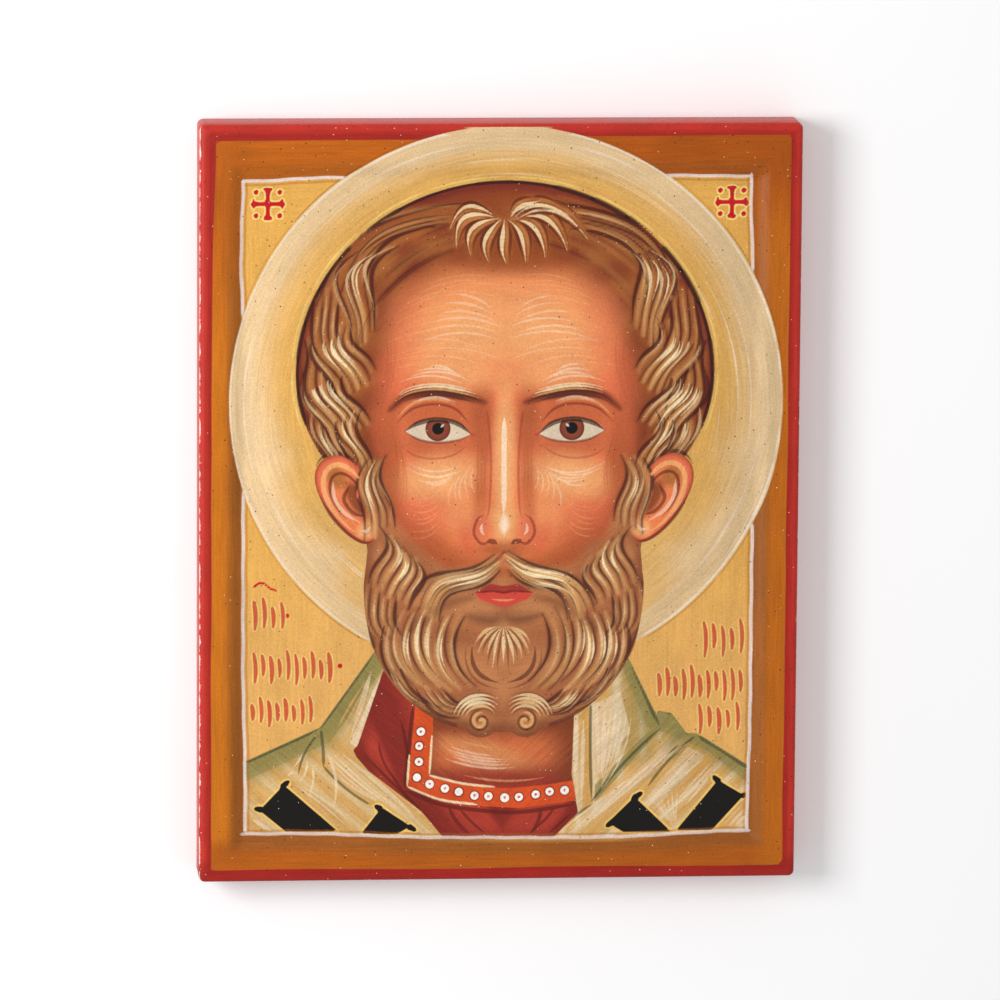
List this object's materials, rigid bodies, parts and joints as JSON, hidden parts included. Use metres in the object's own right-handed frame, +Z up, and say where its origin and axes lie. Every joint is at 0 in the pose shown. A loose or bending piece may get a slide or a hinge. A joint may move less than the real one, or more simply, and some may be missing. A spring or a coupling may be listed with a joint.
{
  "type": "painted icon panel",
  "caption": "Rectangular wooden panel with rounded edges and a shallow bevelled recess, painted on the front with a haloed, bearded head in a red and ochre border.",
  "frame": {"origin": "middle of the flat back face, on which the panel lies", "axes": "+Z up, the way the painted front faces; +Y towards the top of the picture; +X towards its right"},
  "size_m": [0.22, 0.28, 0.02],
  "materials": {
    "painted_board": "egg tempera over a chalk ground on the front and sides, with a satin varnish; bare limewood on the back"
  },
  "bodies": {
    "root": {"icon_board": "painted_board"}
  },
  "joints": []
}
